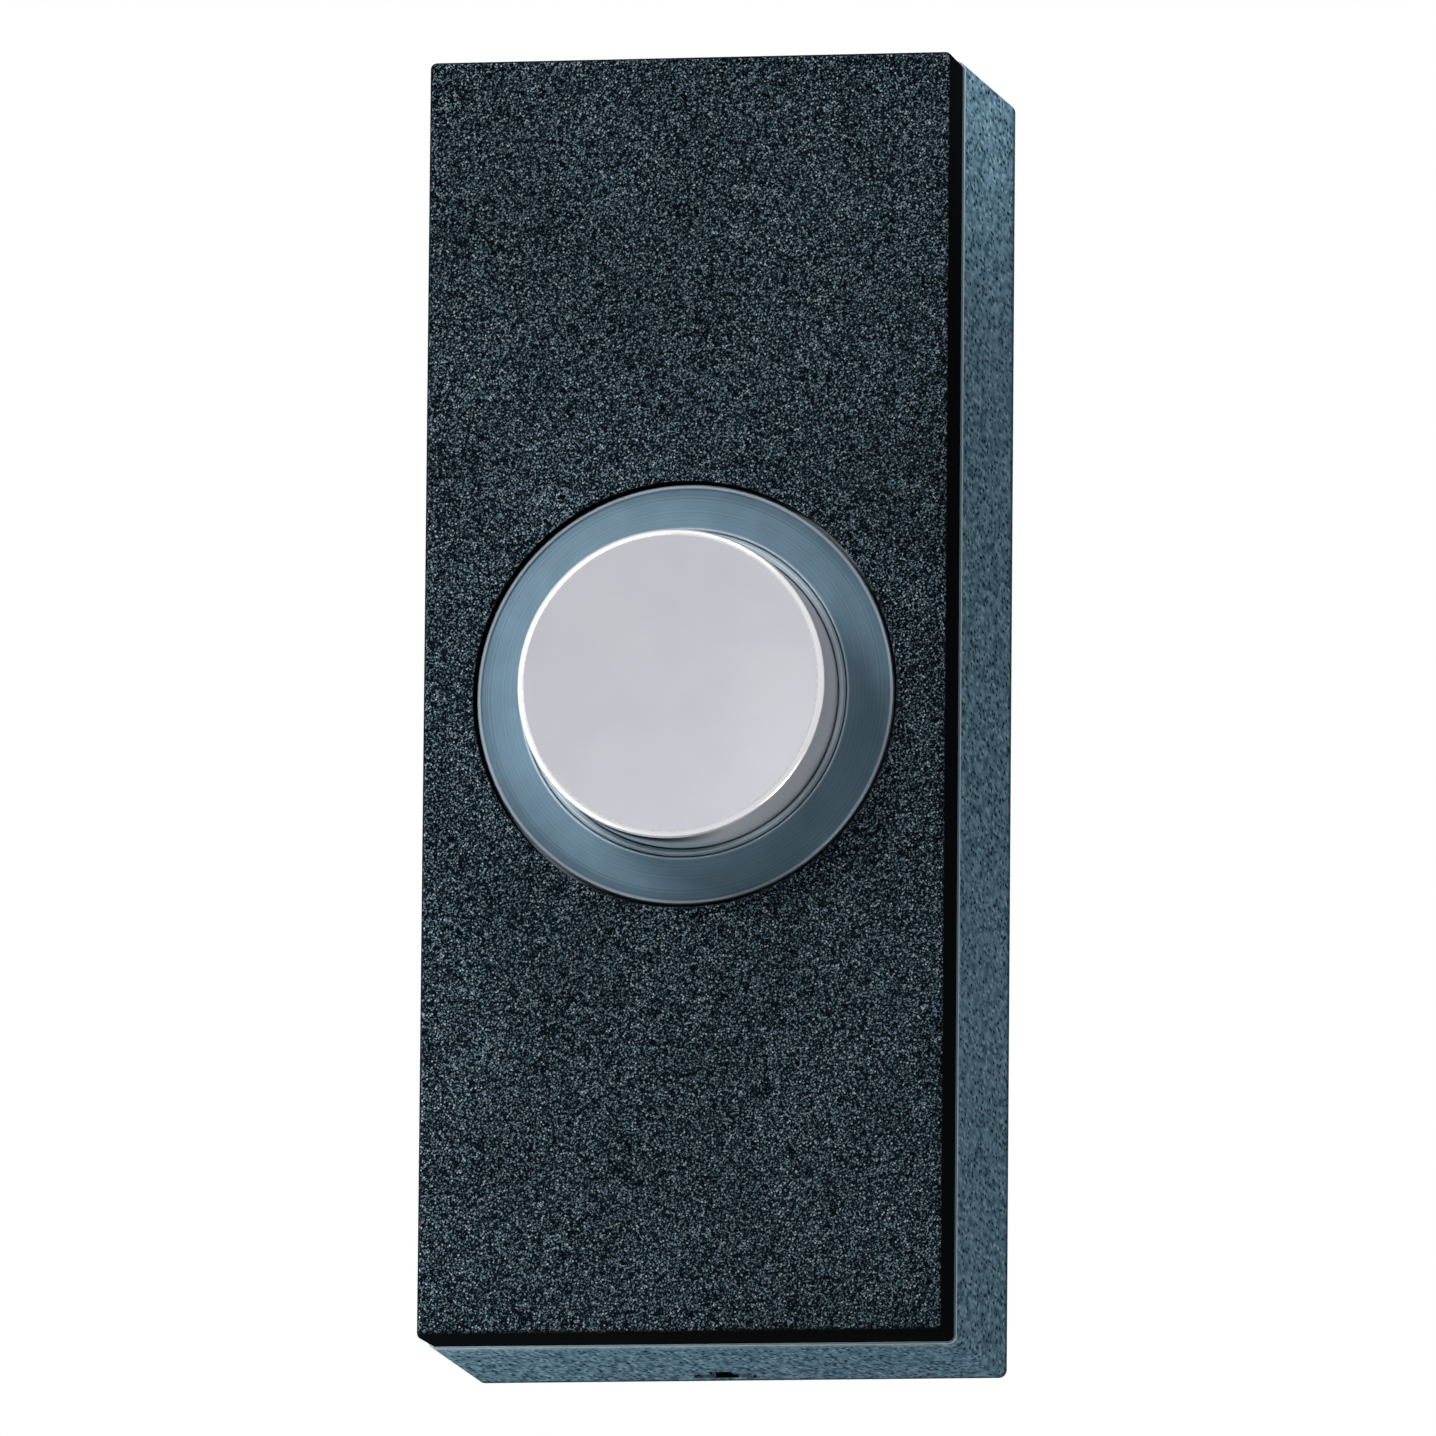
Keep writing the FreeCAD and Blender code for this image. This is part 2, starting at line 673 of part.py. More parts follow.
def make_backplate(doc, dim):
    """Moulded plate with the fixing holes, cable entry, contact seats and snap hooks."""
    body = new_body(doc, "backplate")
    outline = facing_sketch(body, "plate_outline", 0)
    add_rectangle(outline, 0, 0, dim.plate_width, dim.plate_height)
    plate = pad(body, "plate", outline, dim.plate_thickness)
    dress(body, "Fillet", "plate_corners", plate, runs_off_wall, dim.plate_corner_radius)

    bosses = facing_sketch(body, "fixing_bosses_outline", dim.plate_thickness)
    for end in (-1, 1):
        boss = dim.fixing_hole_radius + dim.fixing_boss_wall
        add_circle(bosses, 0, end * dim.fixing_drop, boss)
    pad(body, "fixing_bosses", bosses, dim.fixing_boss_height)

    seats = facing_sketch(body, "strip_seats_outline", dim.plate_thickness)
    seat_middle = dim.seat_length / 2 - dim.strip_end_drop - dim.seat_margin
    seat_width = dim.strip_width + 2 * dim.seat_margin
    add_rectangle(seats, dim.strip_offset, seat_middle, seat_width, dim.seat_length)
    add_rectangle(seats, 0, -dim.arm_drop, 2 * dim.tip_radius, 2 * dim.tip_radius)
    pad(body, "fixed_strip_seat", seats, dim.fixed_seat_height)
    tall = facing_sketch(body, "moving_strip_seat_outline", dim.plate_thickness)
    add_rectangle(tall, -dim.strip_offset, seat_middle, seat_width, dim.seat_length)
    pad(body, "moving_strip_seat", tall, dim.moving_back - dim.plate_thickness)

    post = facing_sketch(body, "spring_post_outline", dim.plate_thickness)
    add_circle(post, 0, 0, dim.post_radius)
    pad(body, "spring_post", post, dim.spring_post_height)

    for side, side_name in ((-1, "left"), (1, "right")):
        for end, end_name in ((-1, "lower"), (1, "upper")):
            hook = section_sketch(
                body,
                f"{end_name}_{side_name}_hook_outline",
                side * dim.hook_offset - dim.hook_width / 2,
            )
            outer = dim.plate_height / 2
            barb_base = dim.hook_tip - 2 * dim.hook_reach
            profile = [
                (dim.plate_thickness / 2, outer - dim.hook_thickness),
                (dim.plate_thickness / 2, outer),
                (barb_base, outer),
                (barb_base, outer + dim.hook_reach),
                (dim.hook_tip, outer),
                (dim.hook_tip, outer - dim.hook_thickness),
            ]
            add_outline(hook, [(-forward, end * up) for forward, up in profile])
            pad(body, f"{end_name}_{side_name}_hook", hook, dim.hook_width)

    hole_depth = dim.plate_thickness + dim.fixing_boss_height
    holes = facing_sketch(body, "fixing_holes_outline", hole_depth)
    for end in (-1, 1):
        add_circle(holes, 0, end * dim.fixing_drop, dim.fixing_hole_radius)
    drilled = pocket(body, "fixing_holes", holes, hole_depth)
    dress(
        body,
        "Chamfer",
        "countersinks",
        drilled,
        lambda edge: circle_of(edge, dim.fixing_hole_radius, hole_depth),
        dim.fixing_countersink,
    )

    entry = facing_sketch(body, "cable_entry_outline", dim.plate_thickness)
    add_rectangle(entry, 0, -dim.cable_entry_drop, dim.cable_entry_width, dim.cable_entry_height)
    opened = pocket(body, "cable_entry", entry, dim.plate_thickness)
    half_width = dim.cable_entry_width.value / 2
    half_height = dim.cable_entry_height.value / 2
    drop = dim.cable_entry_drop.value

    def is_entry_corner(edge):
        middle = edge.BoundBox.Center
        across = abs(abs(middle.x) - half_width) < 1e-4
        return runs_off_wall(edge) and across and abs(abs(middle.z + drop) - half_height) < 1e-4

    dress(body, "Fillet", "cable_entry_corners", opened, is_entry_corner, dim.cable_entry_radius)

    nuts = facing_sketch(body, "nut_pockets_outline", 0)
    pocket_side = dim.nut_side + 2 * dim.pocket_gap
    for side in (-1, 1):
        add_rectangle(nuts, side * dim.strip_offset, -dim.terminal_drop, pocket_side, pocket_side)
    pocket(body, "nut_pockets", nuts, dim.nut_thickness + 2 * dim.pocket_gap, reverse=True)

    shafts = facing_sketch(body, "terminal_holes_outline", dim.moving_back)
    screw_hole = dim.screw_radius + 2 * dim.thread_gap
    rivet_hole = dim.rivet_radius + dim.thread_gap
    for side in (-1, 1):
        add_circle(shafts, side * dim.strip_offset, -dim.terminal_drop, screw_hole)
        add_circle(shafts, side * dim.strip_offset, -dim.rivet_drop, rivet_hole)
    pocket(body, "terminal_holes", shafts, dim.moving_back)

    sinks = facing_sketch(body, "rivet_recesses_outline", 0)
    for side in (-1, 1):
        recess = dim.rivet_head_radius + dim.fit_gap
        add_circle(sinks, side * dim.strip_offset, -dim.rivet_drop, recess)
    pocket(body, "rivet_recesses", sinks, dim.rivet_head_height + dim.pocket_gap, reverse=True)

    notch = facing_sketch(body, "prise_notch_outline", dim.plate_thickness)
    notch_depth = dim.hook_thickness
    add_rectangle(
        notch,
        -dim.prise_offset,
        (notch_depth - dim.plate_height) / 2,
        dim.prise_mouth_width + 4 * dim.fit_gap,
        notch_depth + 0.2,
    )
    pocket(body, "prise_notch", notch, dim.plate_thickness)
    return body


def make_contact_strip(doc, dim, label, side, back, thickness):
    """L-shaped strip from its terminal to the contact arm in the middle, with two holes."""
    body = new_body(doc, label)
    outer = dim.strip_offset + dim.strip_width / 2
    inner = dim.strip_offset - dim.strip_width / 2
    arm_top = dim.arm_width / 2 - dim.arm_drop
    arm_bottom = -dim.arm_width / 2 - dim.arm_drop
    profile = [
        (outer, -dim.strip_end_drop),
        (outer, arm_top),
        (-dim.arm_overlap, arm_top),
        (-dim.arm_overlap, arm_bottom),
        (inner, arm_bottom),
        (inner, -dim.strip_end_drop),
    ]
    outline = facing_sketch(body, f"{label}_outline", back)
    add_outline(outline, [(side * across, up) for across, up in profile])
    middle = side * dim.strip_offset
    add_circle(outline, middle, -dim.terminal_drop, dim.screw_radius + 2 * dim.thread_gap)
    add_circle(outline, middle, -dim.rivet_drop, dim.rivet_radius + dim.thread_gap)
    strip = pad(body, f"{label}_strip", outline, thickness)
    inner_corner = side * inner.value

    def is_bend(edge):
        middle = edge.BoundBox.Center
        at_corner = abs(middle.x - inner_corner) < 1e-4 and abs(middle.z - arm_bottom.value) < 1e-4
        return is_straight(edge) and at_corner

    dress(body, "Fillet", f"{label}_bend", strip, is_bend, dim.strip_width / 4)
    return body


def make_contact_tip(doc, dim, label, back, dome_forward):
    """Low round contact point with a bevelled working edge."""
    body = new_body(doc, label)
    outline = facing_sketch(body, f"{label}_outline", back)
    add_circle(outline, 0, -dim.arm_drop, dim.tip_radius)
    disc = pad(body, f"{label}_disc", outline, dim.tip_height)
    dress(
        body,
        "Chamfer",
        f"{label}_edge",
        disc,
        lambda edge: circle_of(edge, dim.tip_radius, dome_forward),
        dim.tip_height / 2,
    )
    return body


def make_terminal_screw(doc, dim, label, side, seat):
    """Slotted pan-head screw that clamps the wire under its washer."""
    body = new_body(doc, label)
    shank = facing_sketch(body, f"{label}_shank_outline", dim.screw_tip_depth)
    across, up = side * dim.strip_offset, -dim.terminal_drop
    add_circle(shank, across, up, dim.screw_radius)
    pad(body, f"{label}_shank", shank, seat - dim.screw_tip_depth)
    head = facing_sketch(body, f"{label}_head_outline", seat)
    add_circle(head, across, up, dim.screw_head_radius)
    top = seat + dim.screw_head_height
    cylinder = pad(body, f"{label}_head", head, dim.screw_head_height)
    dress(
        body,
        "Chamfer",
        f"{label}_head_edge",
        cylinder,
        lambda edge: circle_of(edge, dim.screw_head_radius, top),
        dim.screw_head_height / 4,
    )
    slot = facing_sketch(body, f"{label}_slot_outline", top)
    add_rectangle(slot, across, up, 2 * dim.screw_head_radius + 1, dim.screw_slot_width)
    pocket(body, f"{label}_slot", slot, dim.screw_slot_depth)
    return body


def make_square_plate(doc, dim, label, side, back, width, thickness, hole_radius, corner):
    """Square washer or nut with a round hole and rounded corners."""
    body = new_body(doc, label)
    outline = facing_sketch(body, f"{label}_outline", back)
    across, up = side * dim.strip_offset, -dim.terminal_drop
    add_rectangle(outline, across, up, width, width)
    add_circle(outline, across, up, hole_radius)
    plate = pad(body, f"{label}_plate", outline, thickness)
    dress(body, "Fillet", f"{label}_corners", plate, is_straight_forward_edge, corner)
    return body


def is_straight_forward_edge(edge):
    """True for the corner edges of a flat plate, not for the seam of its round hole."""
    if not is_straight(edge) or edge.BoundBox.YLength < 1e-4:
        return False
    return edge.BoundBox.XLength < 1e-4 and edge.BoundBox.ZLength < 1e-4


def make_contact_rivet(doc, dim, label, side, front):
    """Tubular rivet that holds a contact strip down on its seat."""
    body = new_body(doc, label)
    across, up = side * dim.strip_offset, -dim.rivet_drop
    rear_head = facing_sketch(body, f"{label}_rear_head_outline", dim.pocket_gap)
    add_circle(rear_head, across, up, dim.rivet_head_radius)
    pad(body, f"{label}_rear_head", rear_head, dim.rivet_head_height)
    shank = facing_sketch(body, f"{label}_shank_outline", dim.pocket_gap)
    add_circle(shank, across, up, dim.rivet_radius)
    pad(body, f"{label}_shank", shank, front - dim.pocket_gap)
    head = facing_sketch(body, f"{label}_head_outline", front)
    add_circle(head, across, up, dim.rivet_head_radius)
    pad(body, f"{label}_head", head, dim.rivet_head_height)
    bore = facing_sketch(body, f"{label}_bore_outline", front + dim.rivet_head_height)
    add_circle(bore, across, up, dim.rivet_radius / 2)
    pocket(body, f"{label}_bore", bore, front + dim.rivet_head_height)
    return body


def make_contacts(doc, dim):
    strips = [
        make_contact_strip(
            doc, dim, "fixed_contact", 1, dim.fixed_back, dim.fixed_thickness
        ),
        make_contact_strip(
            doc, dim, "moving_contact", -1, dim.moving_back, dim.moving_thickness
        ),
    ]
    fixed_tip_front = dim.fixed_front + dim.tip_height
    moving_tip_back = dim.moving_back - dim.tip_height
    tips = [
        make_contact_tip(doc, dim, "fixed_contact_tip", dim.fixed_front, fixed_tip_front),
        make_contact_tip(doc, dim, "moving_contact_tip", moving_tip_back, moving_tip_back),
    ]
    return strips + tips


def make_terminals(doc, dim):
    made = []
    for side, name, strip_front in ((-1, "left", dim.moving_front), (1, "right", dim.fixed_front)):
        made.append(
            make_square_plate(
                doc,
                dim,
                f"clamp_washer_{name}",
                side,
                strip_front,
                dim.washer_side,
                dim.washer_thickness,
                dim.screw_radius + 2 * dim.thread_gap,
                dim.washer_side / 8,
            )
        )
        made.append(
            make_terminal_screw(
                doc, dim, f"terminal_screw_{name}", side, strip_front + dim.washer_thickness
            )
        )
        made.append(
            make_square_plate(
                doc,
                dim,
                f"terminal_nut_{name}",
                side,
                dim.pocket_gap,
                dim.nut_side,
                dim.nut_thickness,
                dim.screw_radius + dim.thread_gap,
                dim.nut_side / 10,
            )
        )
        made.append(make_contact_rivet(doc, dim, f"contact_rivet_{name}", side, strip_front))
    return made


def check_document(doc, bodies):
    doc.recompute()
    for thing in doc.Objects:
        if "Invalid" in thing.State or "Error" in thing.State:
            raise ValueError(f"{thing.Name} did not compute: {thing.State}")
    for body in bodies:
        shape = body.Shape
        if shape.isNull() or not shape.isValid() or len(shape.Solids) != 1:
            raise ValueError(f"{body.Label} is not one valid solid")


def export_parts(bodies):
    os.makedirs(OUTPUT_FOLDER, exist_ok=True)
    for body in bodies:
        body.Shape.exportStep(os.path.join(OUTPUT_FOLDER, f"{body.Label}.step"))
        box = body.Shape.BoundBox
        print(f"{body.Label}: {box.XLength:.2f} x {box.YLength:.2f} x {box.ZLength:.2f} mm")


def main():
    doc = FreeCAD.newDocument("bell_push")
    dim = derived_sizes(fill_sheet(doc))
    bodies = [
        make_housing(doc, dim),
        make_fascia(doc, dim),
        make_bezel_ring(doc, dim),
        make_button_guide(doc, dim),
        make_button(doc, dim),
        make_return_spring(doc, dim),
        make_backplate(doc, dim),
    ]
    bodies += make_contacts(doc, dim) + make_terminals(doc, dim)
    check_document(doc, bodies)
    export_parts(bodies)


main()
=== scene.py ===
# %% [markdown]
# # A bell push, dressed for its picture
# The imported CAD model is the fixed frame: a textured black fascia on a slate housing, a coned
# satin ring and a silver-grey button. This notebook gives every piece its finish, models the
# pieces that CAD leaves plain, and sets up the studio and the camera.

# %% Load the frame
import math

import bpy
from mathutils import Matrix, Vector


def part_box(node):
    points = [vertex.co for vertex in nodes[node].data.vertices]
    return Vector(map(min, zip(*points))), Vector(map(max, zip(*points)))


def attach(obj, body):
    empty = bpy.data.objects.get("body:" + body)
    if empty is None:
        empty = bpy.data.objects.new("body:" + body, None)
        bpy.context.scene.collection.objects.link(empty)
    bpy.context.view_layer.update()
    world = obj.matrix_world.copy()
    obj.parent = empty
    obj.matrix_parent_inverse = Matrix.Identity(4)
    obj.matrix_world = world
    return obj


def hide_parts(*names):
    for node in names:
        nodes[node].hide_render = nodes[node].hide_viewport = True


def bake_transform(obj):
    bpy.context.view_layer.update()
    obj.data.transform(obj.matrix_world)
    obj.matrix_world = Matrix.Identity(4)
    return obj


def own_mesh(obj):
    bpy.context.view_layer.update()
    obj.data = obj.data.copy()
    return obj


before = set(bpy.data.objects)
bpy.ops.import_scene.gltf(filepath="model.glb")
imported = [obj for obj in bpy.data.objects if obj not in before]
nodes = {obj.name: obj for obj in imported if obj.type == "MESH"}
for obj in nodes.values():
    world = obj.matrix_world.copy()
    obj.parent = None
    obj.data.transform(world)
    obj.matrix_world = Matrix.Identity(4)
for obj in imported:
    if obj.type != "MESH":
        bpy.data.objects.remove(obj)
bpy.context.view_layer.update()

MM = 0.001
print("CAD nodes:", len(nodes))

# %% [markdown]
# ## Places that come from the frame
# Places are read from the boxes of the CAD nodes, so that a finish stays where its piece is.
# A few sizes that no box gives are written down here. The button faces -Y, the wall is the
# plane y = 0, and Z points up.

# %% Key places
fascia_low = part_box("fascia")[0]
ring_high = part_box("bezel_ring")[1]
button_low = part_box("button")[0]
spring_low, spring_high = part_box("return_spring")

FRONT = fascia_low.y
FASCIA_DEPTH = 4.4 * MM
SHOULDER = FRONT + FASCIA_DEPTH
UNDERSIDE = -39.5 * MM
RING_RADIUS = ring_high.x
RING_BORE = 10.13 * MM
BUTTON_FRONT = button_low.y
BUTTON_RADIUS = 9.55 * MM
BUTTON_RIM = 0.45 * MM

PRISE_OFFSET = 0.6 * MM
PRISE_ROOF = -38.2 * MM
PRISE_BACK = -1.59 * MM
SLOT_HALF = 0.70 * MM
SLOT_FRONT = -4.55 * MM
MOUTH_HALF = 2.00 * MM
MOUTH_FRONT = -3.14 * MM
print("front face at y =", round(FRONT / MM, 2), "mm, ring radius", round(RING_RADIUS / MM, 2))

# %% [markdown]
# ## A small kit for finishes
# A finish is a tree of nodes. Each pattern reads Object coordinates, which are metres in the
# frame, so a grain size is written as a real size and the pattern can't slide. The helper
# below only saves typing: it adds a node, sets its inputs and links what is given as a socket.

# %% Finish helper
PATTERN_TURN = (0.5, 0.7, 0.3)
EVEN = (1.0, 1.0, 1.0)


class Finish:
    """A procedural material that is built up node by node."""

    def __init__(self, name, roughness, metallic=0.0, specular=0.5):
        self.material = bpy.data.materials.new(name)
        self.material.use_nodes = True
        self.tree = self.material.node_tree
        self.shader = self.tree.nodes["Principled BSDF"]
        self.shader.inputs["Roughness"].default_value = roughness
        self.shader.inputs["Metallic"].default_value = metallic
        self.shader.inputs["Specular IOR Level"].default_value = specular
        self.place = self.tree.nodes.new("ShaderNodeTexCoord").outputs["Object"]

    def node(self, kind, settings=(), inputs=()):
        made = self.tree.nodes.new(kind)
        for name, value in dict(settings).items():
            setattr(made, name, value)
        for name, value in dict(inputs).items():
            if isinstance(value, bpy.types.NodeSocket):
                self.tree.links.new(value, made.inputs[name])
            else:
                made.inputs[name].default_value = value
        return made

    def math(self, operation, first, second=0.0, clamp=False):
        settings = {"operation": operation, "use_clamp": clamp}
        return self.node("ShaderNodeMath", settings, {0: first, 1: second}).outputs[0]

    def scaled(self, stretch):
        """The place with each axis scaled: below 1 draws a pattern out along that axis.

        It is turned as well, so that no face lies along a row of a pattern's cells.
        """
        inputs = {"Vector": self.place, "Scale": stretch, "Rotation": PATTERN_TURN}
        return self.node("ShaderNodeMapping", (), inputs).outputs[0]

    def noise(self, grain, detail=2.0, stretch=EVEN):
        """Noise whose blobs are about as wide as the grain, in metres."""
        inputs = {"Vector": self.scaled(stretch), "Scale": 1.0 / grain, "Detail": detail}
        return self.node("ShaderNodeTexNoise", (), inputs).outputs["Fac"]

    def cells(self, size, stretch=EVEN):
        """A jittered grid of this size, in metres.

        Gives a random value from 0 to 1 for each cell, and the distance from its middle.
        """
        inputs = {"Vector": self.scaled(stretch), "Scale": 1.0 / size}
        made = self.node("ShaderNodeTexVoronoi", {"feature": "F1"}, inputs)
        parts = self.node("ShaderNodeSeparateColor", (), {0: made.outputs["Color"]})
        return parts.outputs[0], made.outputs["Distance"]

    def specks(self, size, share, stretch=EVEN):
        """Round specks in a share of the cells of such a grid."""
        draw, distance = self.cells(size, stretch)
        chosen = self.smooth(draw, 1.0 - share - 0.05, 1.0 - share + 0.05)
        return self.math("MULTIPLY", chosen, self.below(distance, 0.22, 0.52))

    def smooth(self, value, low, high):
        """0 below the low value, 1 above the high one, and a soft step between."""
        settings = {"interpolation_type": "SMOOTHSTEP", "clamp": True}
        inputs = {"Value": value, "From Min": low, "From Max": high}
        return self.node("ShaderNodeMapRange", settings, inputs).outputs[0]

    def below(self, value, low, high):
        """1 below the low value, 0 above the high one, and a soft step between."""
        return self.math("SUBTRACT", 1.0, self.smooth(value, low, high))

    def spread(self, value, low, high, to_low, to_high):
        """Maps a value from one range to another along a straight line."""
        inputs = {
            "Value": value,
            "From Min": low,
            "From Max": high,
            "To Min": to_low,
            "To Max": to_high,
        }
        return self.node("ShaderNodeMapRange", {"clamp": True}, inputs).outputs[0]

    def ramp(self, value, stops):
        """Colours by value, from (position, colour) stops."""
        made = self.node("ShaderNodeValToRGB", (), {"Fac": value})
        elements = made.color_ramp.elements
        while len(elements) < len(stops):
            elements.new(0.5)
        for element, (position, colour) in zip(elements, stops):
            element.position = position
            element.color = (*colour, 1.0)
        return made.outputs["Color"]

    def mix(self, factor, first, second, blend="MIX"):
        settings = {"data_type": "RGBA", "blend_type": blend}
        inputs = {0: factor, 6: first, 7: second}
        return self.node("ShaderNodeMix", settings, inputs).outputs[2]

    def shade(self, colour, value):
        """The colour made lighter or darker by a value around 1."""
        grey = self.node("ShaderNodeCombineXYZ", (), {0: value, 1: value, 2: value})
        return self.mix(1.0, colour, grey.outputs[0], "MULTIPLY")

    def axis(self, name):
        """The place along X, Y or Z."""
        return self.node("ShaderNodeSeparateXYZ", (), {0: self.place}).outputs[name]

    def radius(self):
        """Distance from the axis of the button."""
        flatten = {0: self.place, 1: (1.0, 0.0, 1.0)}
        flat = self.node("ShaderNodeVectorMath", {"operation": "MULTIPLY"}, flatten)
        length = self.node("ShaderNodeVectorMath", {"operation": "LENGTH"}, {0: flat.outputs[0]})
        return length.outputs["Value"]

    def turned_lines(self, pitch):
        """Fine rings round the button's axis, as turning or spinning leaves them."""
        across = self.math("DIVIDE", self.radius(), pitch)
        inputs = {"W": across, "Scale": 1.0, "Detail": 2.0}
        return self.node("ShaderNodeTexNoise", {"noise_dimensions": "1D"}, inputs).outputs["Fac"]

    def colour(self, socket):
        self.tree.links.new(socket, self.shader.inputs["Base Color"])

    def roughness(self, socket):
        self.tree.links.new(socket, self.shader.inputs["Roughness"])

    def metallic(self, socket):
        self.tree.links.new(socket, self.shader.inputs["Metallic"])

    def bump(self, height, depth, strength=1.0):
        """Raises the surface by up to the depth, in metres, where the height is 1."""
        inputs = {"Height": height, "Distance": depth, "Strength": strength}
        made = self.node("ShaderNodeBump", (), inputs)
        self.tree.links.new(made.outputs["Normal"], self.shader.inputs["Normal"])


def linear(red, green, blue):
    """A colour given as it shows on a screen, from 0 to 255, as Blender works with it."""
    shares = (channel / 255 for channel in (red, green, blue))
    return tuple(s / 12.92 if s <= 0.04045 else ((s + 0.055) / 1.055) ** 2.4 for s in shares)


def solid(colour):
    return (*colour, 1.0)


def dress(names, finish):
    """Puts a finish on CAD nodes, in place of what they had."""
    for name in names:
        for slot in nodes[name].material_slots:
            slot.material = finish.material
    print("dressed", ", ".join(names), "in", finish.material.name)

# %% [markdown]
# ## Textured black fascia
# The cap is moulded in near-black plastic, and its front comes from a sparked mould: a fine
# random grain, whose tips get a painted highlight, a pale colour in place of the light they catch.
# The grain and its painted highlight die out on the rounded front edge, a little sooner along the
# bottom, and the sides are plain and black. A random value for each grain is added to a noise, a
# few small specks are painted pale as glints, and a slow noise changes the tone over the face.

# %% Fascia finish
def fascia_finish():
    finish = Finish("textured_black", roughness=0.9, specular=0.0)
    bottom = fascia_low.z
    clear = finish.smooth(finish.axis("Z"), bottom + 0.25 * MM, bottom + 0.6 * MM)
    flat = finish.below(finish.axis("Y"), FRONT + 0.02 * MM, FRONT + 0.14 * MM)
    front = finish.math("MULTIPLY", clear, flat)
    tips, _ = finish.cells(0.078 * MM)
    waves = finish.math("MULTIPLY", finish.noise(0.18 * MM, detail=2.0), 0.2)
    grain = finish.math("ADD", finish.math("MULTIPLY", tips, 0.8), waves)
    # Painted highlight: the pale upper stops of this ramp stand for light on the grain's tips.
    grained = finish.ramp(
        grain,
        [
            (0.16, linear(2, 4, 7)),
            (0.45, linear(13, 20, 26)),
            (0.68, linear(34, 48, 58)),
            (0.88, linear(126, 147, 160)),
        ],
    )
    # Painted glints: a few pale specks in the colour stand for highlights.
    painted_glints = finish.math("MULTIPLY", finish.specks(0.14 * MM, 0.10), 0.85)
    with_painted_glints = finish.mix(painted_glints, grained, solid(linear(200, 216, 224)))
    slow = finish.spread(finish.noise(9 * MM, detail=1.0), 0.3, 0.7, 0.88, 1.12)
    plain = solid(linear(12, 14, 16))
    finish.colour(finish.mix(front, plain, finish.shade(with_painted_glints, slow)))
    finish.roughness(finish.spread(grain, 0.3, 0.7, 0.95, 0.75))
    finish.bump(finish.math("MULTIPLY", grain, front), 0.03 * MM, 0.6)
    return finish


dress(["fascia"], fascia_finish())

# %% [markdown]
# ## Slate housing
# The shell is a mid blue-grey plastic with dark and light specks in it, drawn out along the way
# the shell leaves its mould. Its sides are matt. The shoulder behind the fascia has a painted
# highlight, a pale colour that reaches furthest underneath. The colour is darker along the edge
# that lies on the wall, and painted shade darkens the prise slot below.

# %% Housing finish
def prise_painted_shade(finish, depth):
    """Painted shade in the prise slot and, weaker, in the wider mouth behind it."""
    across = finish.math("ABSOLUTE", finish.math("ADD", finish.axis("X"), PRISE_OFFSET))
    beside_slot = finish.smooth(across, SLOT_HALF, SLOT_HALF + 0.04 * MM)
    beside_mouth = finish.smooth(across, MOUTH_HALF, MOUTH_HALF + 0.03 * MM)
    above = finish.smooth(finish.axis("Z"), PRISE_ROOF, PRISE_ROOF + 0.2 * MM)
    behind = finish.smooth(depth, PRISE_BACK, PRISE_BACK + 0.04 * MM)
    past_slot_front = finish.smooth(depth, SLOT_FRONT, SLOT_FRONT + 0.04 * MM)
    past_mouth_front = finish.smooth(depth, MOUTH_FRONT, MOUTH_FRONT + 0.03 * MM)
    slot = finish.math("SUBTRACT", past_slot_front, beside_slot)
    mouth = finish.math("SUBTRACT", past_mouth_front, beside_mouth)
    both = finish.math("MAXIMUM", finish.math("MULTIPLY", mouth, 0.3), slot)
    outside = finish.math("MAXIMUM", above, behind)
    return finish.math("SUBTRACT", both, outside, clamp=True)


def shoulder_highlight(finish, depth, colour):
    """A painted highlight on the shoulder's edge, and behind it painted patches of highlight on
    the underside.
    """
    # Painted highlight: a pale colour on the shoulder's edge and, in uneven patches, on the
    # underside just behind it.
    edge = finish.below(depth, SHOULDER + 0.1 * MM, SHOULDER + 0.5 * MM)
    wide = finish.below(depth, SHOULDER + 0.4 * MM, SHOULDER + 2.2 * MM)
    under = finish.below(finish.axis("Z"), UNDERSIDE, UNDERSIDE + 0.3 * MM)
    patches = finish.spread(finish.noise(1.0 * MM, detail=2.0), 0.35, 0.65, 0.2, 0.6)
    underside_highlight = finish.math("MULTIPLY", finish.math("MULTIPLY", wide, under), patches)
    painted_highlight = finish.mix(underside_highlight, colour, solid(linear(150, 160, 172)))
    return finish.mix(edge, painted_highlight, solid(linear(168, 192, 204)))


def housing_finish():
    finish = Finish("slate", roughness=0.7, specular=0.0)
    body = finish.ramp(
        finish.noise(0.40 * MM, detail=4.0, stretch=(1.0, 0.3, 1.0)),
        [(0.34, linear(54, 82, 98)), (0.66, linear(108, 138, 154))],
    )
    drawn_out = (1.0, 0.4, 1.0)
    dark = finish.specks(0.30 * MM, 0.50, drawn_out)
    light = finish.specks(0.33 * MM, 0.35, drawn_out)
    dark_share = finish.math("MULTIPLY", dark, 0.95)
    light_share = finish.math("MULTIPLY", light, 0.5)
    darkened = finish.mix(dark_share, body, solid(linear(10, 24, 36)))
    specked = finish.mix(light_share, darkened, solid(linear(154, 182, 194)))
    depth = finish.axis("Y")
    # The colour is darker towards the back edge, which lies on the wall.
    back_edge_dark = finish.math("MULTIPLY", finish.smooth(depth, -1.1 * MM, -0.4 * MM), 0.65)
    back_edge_darkened = finish.mix(back_edge_dark, shoulder_highlight(finish, depth, specked), solid(linear(24, 37, 46)))
    # Painted shade: the prise slot and its mouth are coloured near-black.
    finish.colour(finish.mix(prise_painted_shade(finish, depth), back_edge_darkened, solid(linear(8, 10, 12))))
    finish.roughness(finish.spread(dark, 0.0, 1.0, 0.62, 0.75))
    finish.bump(light, 0.012 * MM, 0.5)
    return finish


dress(["housing"], housing_finish())
